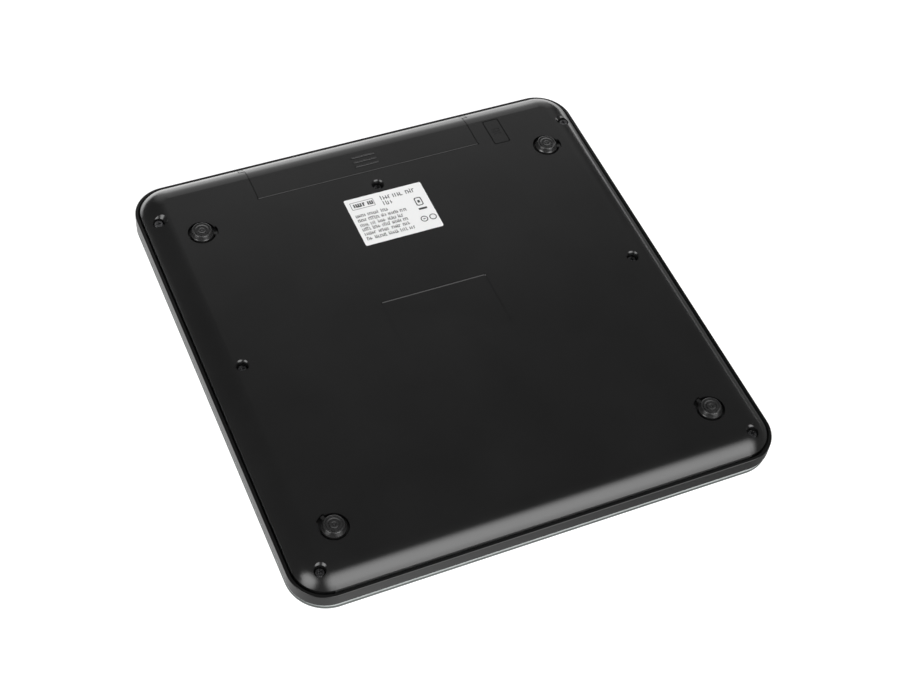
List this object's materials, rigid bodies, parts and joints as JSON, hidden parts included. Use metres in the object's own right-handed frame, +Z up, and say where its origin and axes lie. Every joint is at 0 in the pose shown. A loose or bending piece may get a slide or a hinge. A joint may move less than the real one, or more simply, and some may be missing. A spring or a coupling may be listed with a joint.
{
  "type": "digital kitchen scale",
  "caption": "Flat square digital kitchen scale: glass weighing platform on a slim black body with floating rubber feet and a slide-off battery door.",
  "frame": {"origin": "middle of the outline on the plane that the feet stand on", "axes": "+Z up through the glass platform, +Y towards the battery door, -Y towards the user and the display"},
  "size_m": [0.23, 0.24, 0.0196],
  "materials": {
    "black_plastic": "fine satin moulded texture",
    "housing_plastic": "satin moulded plastic",
    "platform_glass": "clear float glass, black print on its back",
    "foot_rubber": "soft matt rubber",
    "foot_plastic": "satin",
    "screw_steel": "black zinc",
    "sensor_steel": "stamped and plated",
    "gauge_sealant": "white silicone",
    "carrier_plastic": "natural plastic",
    "circuit_board": "green solder mask",
    "chip_resin": "black resin",
    "display_glass": "reflective display cell",
    "frame_plastic": "white plastic",
    "light_guide": "frosted",
    "foam": "closed-cell foam",
    "strip_rubber": "layered rubber",
    "bonding_tape": "foam tape",
    "contact_nickel": "nickel plated",
    "cell_wrap": "printed wrap",
    "label_film": "white film",
    "switch_plastic": "plain",
    "red_wire": "insulated wire",
    "black_wire": "insulated wire",
    "grey_wire": "bundle of insulated wires"
  },
  "bodies": {
    "housing": {"battery_1": "cell_wrap", "battery_2": "cell_wrap", "battery_lead_negative": "black_wire", "battery_lead_positive": "red_wire", "battery_plate_contact": "contact_nickel", "battery_spring_contact": "contact_nickel", "board_screws": "screw_steel", "bottom_shell": "black_plastic", "button_board": "circuit_board", "button_board_screws": "screw_steel", "button_lead": "grey_wire", "button_switch": "switch_plastic", "controller_chip": "chip_resin", "glass_platform": "platform_glass", "lcd_backlight": "light_guide", "lcd_display": "display_glass", "lcd_frame": "frame_plastic", "lcd_gasket": "foam", "load_cell_cable_front_left": "grey_wire", "load_cell_cable_front_right": "grey_wire", "load_cell_cable_rear_left": "grey_wire", "load_cell_cable_rear_right": "grey_wire", "load_cell_carrier_front_left": "carrier_plastic", "load_cell_carrier_front_right": "carrier_plastic", "load_cell_carrier_rear_left": "carrier_plastic", "load_cell_carrier_rear_right": "carrier_plastic", "load_cell_front_left": "sensor_steel", "load_cell_front_right": "sensor_steel", "load_cell_rear_left": "sensor_steel", "load_cell_rear_right": "sensor_steel", "main_board": "circuit_board", "platform_adhesive": "bonding_tape", "rating_label": "label_film", "shell_screws": "screw_steel", "strain_gauge_front_left": "gauge_sealant", "strain_gauge_front_right": "gauge_sealant", "strain_gauge_rear_left": "gauge_sealant", "strain_gauge_rear_right": "gauge_sealant", "top_housing": "housing_plastic", "touch_springs": "contact_nickel", "zebra_strips": "strip_rubber"},
    "foot_front_left": {"foot_front_left": "foot_plastic", "foot_pad_front_left": "foot_rubber"},
    "foot_front_right": {"foot_front_right": "foot_plastic", "foot_pad_front_right": "foot_rubber"},
    "foot_rear_left": {"foot_rear_left": "foot_plastic", "foot_pad_rear_left": "foot_rubber"},
    "foot_rear_right": {"foot_rear_right": "foot_plastic", "foot_pad_rear_right": "foot_rubber"},
    "battery_door": {"battery_door": "black_plastic"},
    "unit_button": {"unit_button": "black_plastic", "switch_plunger": "switch_plastic"}
  },
  "joints": [
    {"name": "battery_door_slide", "type": "slide", "parent": "housing", "child": "battery_door", "axis": [0, 1, 0], "range_m": [0, 0.026]},
    {"name": "foot_front_left_press", "type": "slide", "parent": "housing", "child": "foot_front_left", "axis": [0, 0, 1], "range_m": [0, 0.0005], "stiffness_N_per_m": 6000},
    {"name": "foot_front_right_press", "type": "slide", "parent": "housing", "child": "foot_front_right", "axis": [0, 0, 1], "range_m": [0, 0.0005], "stiffness_N_per_m": 6000},
    {"name": "foot_rear_left_press", "type": "slide", "parent": "housing", "child": "foot_rear_left", "axis": [0, 0, 1], "range_m": [0, 0.0005], "stiffness_N_per_m": 6000},
    {"name": "foot_rear_right_press", "type": "slide", "parent": "housing", "child": "foot_rear_right", "axis": [0, 0, 1], "range_m": [0, 0.0005], "stiffness_N_per_m": 6000},
    {"name": "unit_button_press", "type": "slide", "parent": "housing", "child": "unit_button", "axis": [0, 0, 1], "range_m": [0, 0.0005], "stiffness_N_per_m": 800}
  ]
}
